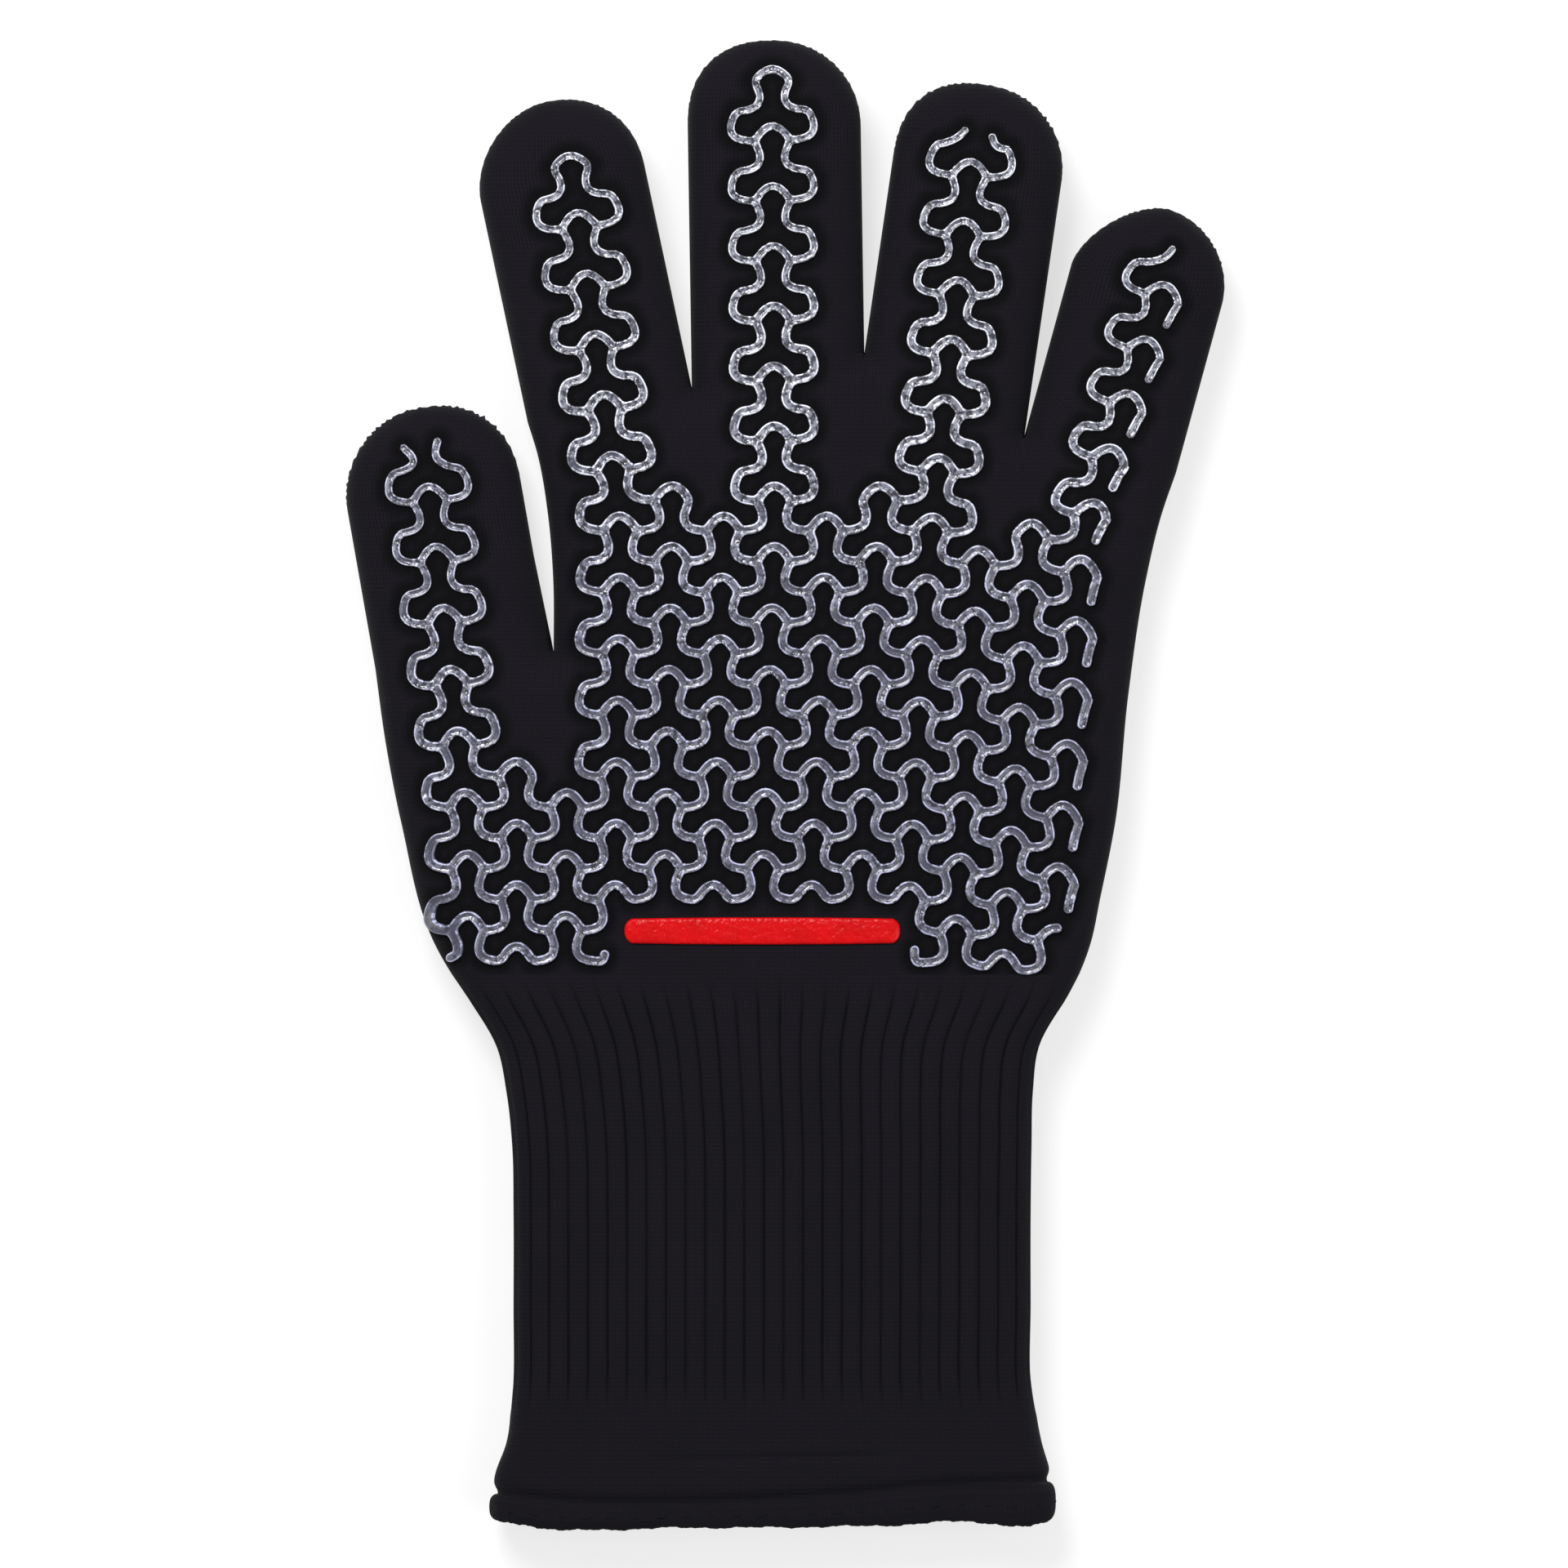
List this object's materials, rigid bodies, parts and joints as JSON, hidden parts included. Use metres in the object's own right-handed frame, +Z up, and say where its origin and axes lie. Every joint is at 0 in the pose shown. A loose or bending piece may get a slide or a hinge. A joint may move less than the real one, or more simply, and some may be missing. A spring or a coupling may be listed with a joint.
{
  "type": "heat resistant glove",
  "caption": "Knitted heat resistant glove for either hand, with a cotton lining, a net of silicone grip beads, a ribbed cuff and fingers that bend.",
  "frame": {"origin": "middle of the glove's outline, on the surface that it lies on", "axes": "+Z up out of the grip face that the picture shows, +Y to the fingertips, thumb on the -X side"},
  "size_m": [0.1949, 0.33, 0.02],
  "materials": {
    "shell_knit": "fine black knit, matt",
    "rib_knit": "ribbed black knit, matt",
    "lining_knit": "soft cotton knit",
    "grip_silicone": "semi-gloss silicone",
    "red_silicone": "glossy silicone",
    "binding": "folded knit tape",
    "thread": "sewing thread"
  },
  "bodies": {
    "palm": {"palm_shell": "shell_knit", "palm_lining": "lining_knit", "palm_grip": "grip_silicone", "back_grip": "grip_silicone", "red_bar": "red_silicone"},
    "cuff": {"cuff_shell": "rib_knit", "cuff_lining": "lining_knit", "hem_binding": "binding", "hem_stitches": "thread"},
    "thumb_base": {"thumb_base_shell": "shell_knit", "thumb_base_lining": "lining_knit", "thumb_base_grip": "grip_silicone"},
    "thumb_tip": {"thumb_tip_shell": "shell_knit", "thumb_tip_lining": "lining_knit", "thumb_tip_grip": "grip_silicone"},
    "index_base": {"index_base_shell": "shell_knit", "index_base_lining": "lining_knit", "index_base_grip": "grip_silicone"},
    "index_mid": {"index_mid_shell": "shell_knit", "index_mid_lining": "lining_knit", "index_mid_grip": "grip_silicone"},
    "index_tip": {"index_tip_shell": "shell_knit", "index_tip_lining": "lining_knit", "index_tip_grip": "grip_silicone"},
    "middle_base": {"middle_base_shell": "shell_knit", "middle_base_lining": "lining_knit", "middle_base_grip": "grip_silicone"},
    "middle_mid": {"middle_mid_shell": "shell_knit", "middle_mid_lining": "lining_knit", "middle_mid_grip": "grip_silicone"},
    "middle_tip": {"middle_tip_shell": "shell_knit", "middle_tip_lining": "lining_knit", "middle_tip_grip": "grip_silicone"},
    "ring_base": {"ring_base_shell": "shell_knit", "ring_base_lining": "lining_knit", "ring_base_grip": "grip_silicone"},
    "ring_mid": {"ring_mid_shell": "shell_knit", "ring_mid_lining": "lining_knit", "ring_mid_grip": "grip_silicone"},
    "ring_tip": {"ring_tip_shell": "shell_knit", "ring_tip_lining": "lining_knit", "ring_tip_grip": "grip_silicone"},
    "little_base": {"little_base_shell": "shell_knit", "little_base_lining": "lining_knit", "little_base_grip": "grip_silicone"},
    "little_mid": {"little_mid_shell": "shell_knit", "little_mid_lining": "lining_knit", "little_mid_grip": "grip_silicone"},
    "little_tip": {"little_tip_shell": "shell_knit", "little_tip_lining": "lining_knit", "little_tip_grip": "grip_silicone"}
  },
  "joints": [
    {"name": "wrist_bend", "type": "hinge", "parent": "palm", "child": "cuff", "pos_m": [-0.00384, -0.058, 0.02], "axis": [-1, 0, 0], "range_deg": [0, 50]},
    {"name": "thumb_base_bend", "type": "hinge", "parent": "palm", "child": "thumb_base", "pos_m": [-0.07279, 0.035, 0.02], "axis": [0.9848, 0.1736, 0], "range_deg": [0, 50]},
    {"name": "thumb_tip_bend", "type": "hinge", "parent": "thumb_base", "child": "thumb_tip", "pos_m": [-0.07714, 0.05962, 0.02], "axis": [0.9848, 0.1736, 0], "range_deg": [0, 60]},
    {"name": "index_base_bend", "type": "hinge", "parent": "palm", "child": "index_base", "pos_m": [-0.0402, 0.09, 0.02], "axis": [0.9781, 0.2079, 0], "range_deg": [0, 60]},
    {"name": "index_mid_bend", "type": "hinge", "parent": "index_base", "child": "index_mid", "pos_m": [-0.04477, 0.11152, 0.02], "axis": [0.9781, 0.2079, 0], "range_deg": [0, 70]},
    {"name": "index_tip_bend", "type": "hinge", "parent": "index_mid", "child": "index_tip", "pos_m": [-0.04872, 0.13011, 0.02], "axis": [0.9781, 0.2079, 0], "range_deg": [0, 42]},
    {"name": "middle_base_bend", "type": "hinge", "parent": "palm", "child": "middle_base", "pos_m": [-0.00179, 0.103, 0.02], "axis": [0.9999, 0.0157, 0], "range_deg": [0, 60]},
    {"name": "middle_mid_bend", "type": "hinge", "parent": "middle_base", "child": "middle_mid", "pos_m": [-0.00213, 0.1245, 0.02], "axis": [0.9999, 0.0157, 0], "range_deg": [0, 70]},
    {"name": "middle_tip_bend", "type": "hinge", "parent": "middle_mid", "child": "middle_tip", "pos_m": [-0.00243, 0.1435, 0.02], "axis": [0.9999, 0.0157, 0], "range_deg": [0, 42]},
    {"name": "ring_base_bend", "type": "hinge", "parent": "palm", "child": "ring_base", "pos_m": [0.0371, 0.099, 0.02], "axis": [0.9895, -0.1444, 0], "range_deg": [0, 60]},
    {"name": "ring_mid_bend", "type": "hinge", "parent": "ring_base", "child": "ring_mid", "pos_m": [0.03999, 0.11879, 0.02], "axis": [0.9895, -0.1444, 0], "range_deg": [0, 70]},
    {"name": "ring_tip_bend", "type": "hinge", "parent": "ring_mid", "child": "ring_tip", "pos_m": [0.04237, 0.13512, 0.02], "axis": [0.9895, -0.1444, 0], "range_deg": [0, 42]},
    {"name": "little_base_bend", "type": "hinge", "parent": "palm", "child": "little_base", "pos_m": [0.07211, 0.0815, 0.02], "axis": [0.9646, -0.2639, 0], "range_deg": [0, 60]},
    {"name": "little_mid_bend", "type": "hinge", "parent": "little_base", "child": "little_mid", "pos_m": [0.07633, 0.09694, 0.02], "axis": [0.9646, -0.2639, 0], "range_deg": [0, 70]},
    {"name": "little_tip_bend", "type": "hinge", "parent": "little_mid", "child": "little_tip", "pos_m": [0.07989, 0.10996, 0.02], "axis": [0.9646, -0.2639, 0], "range_deg": [0, 42]}
  ],
  "couplings": [
    {"joint": "index_tip_bend", "follows": "index_mid_bend", "ratio": 0.6},
    {"joint": "middle_tip_bend", "follows": "middle_mid_bend", "ratio": 0.6},
    {"joint": "ring_tip_bend", "follows": "ring_mid_bend", "ratio": 0.6},
    {"joint": "little_tip_bend", "follows": "little_mid_bend", "ratio": 0.6}
  ]
}
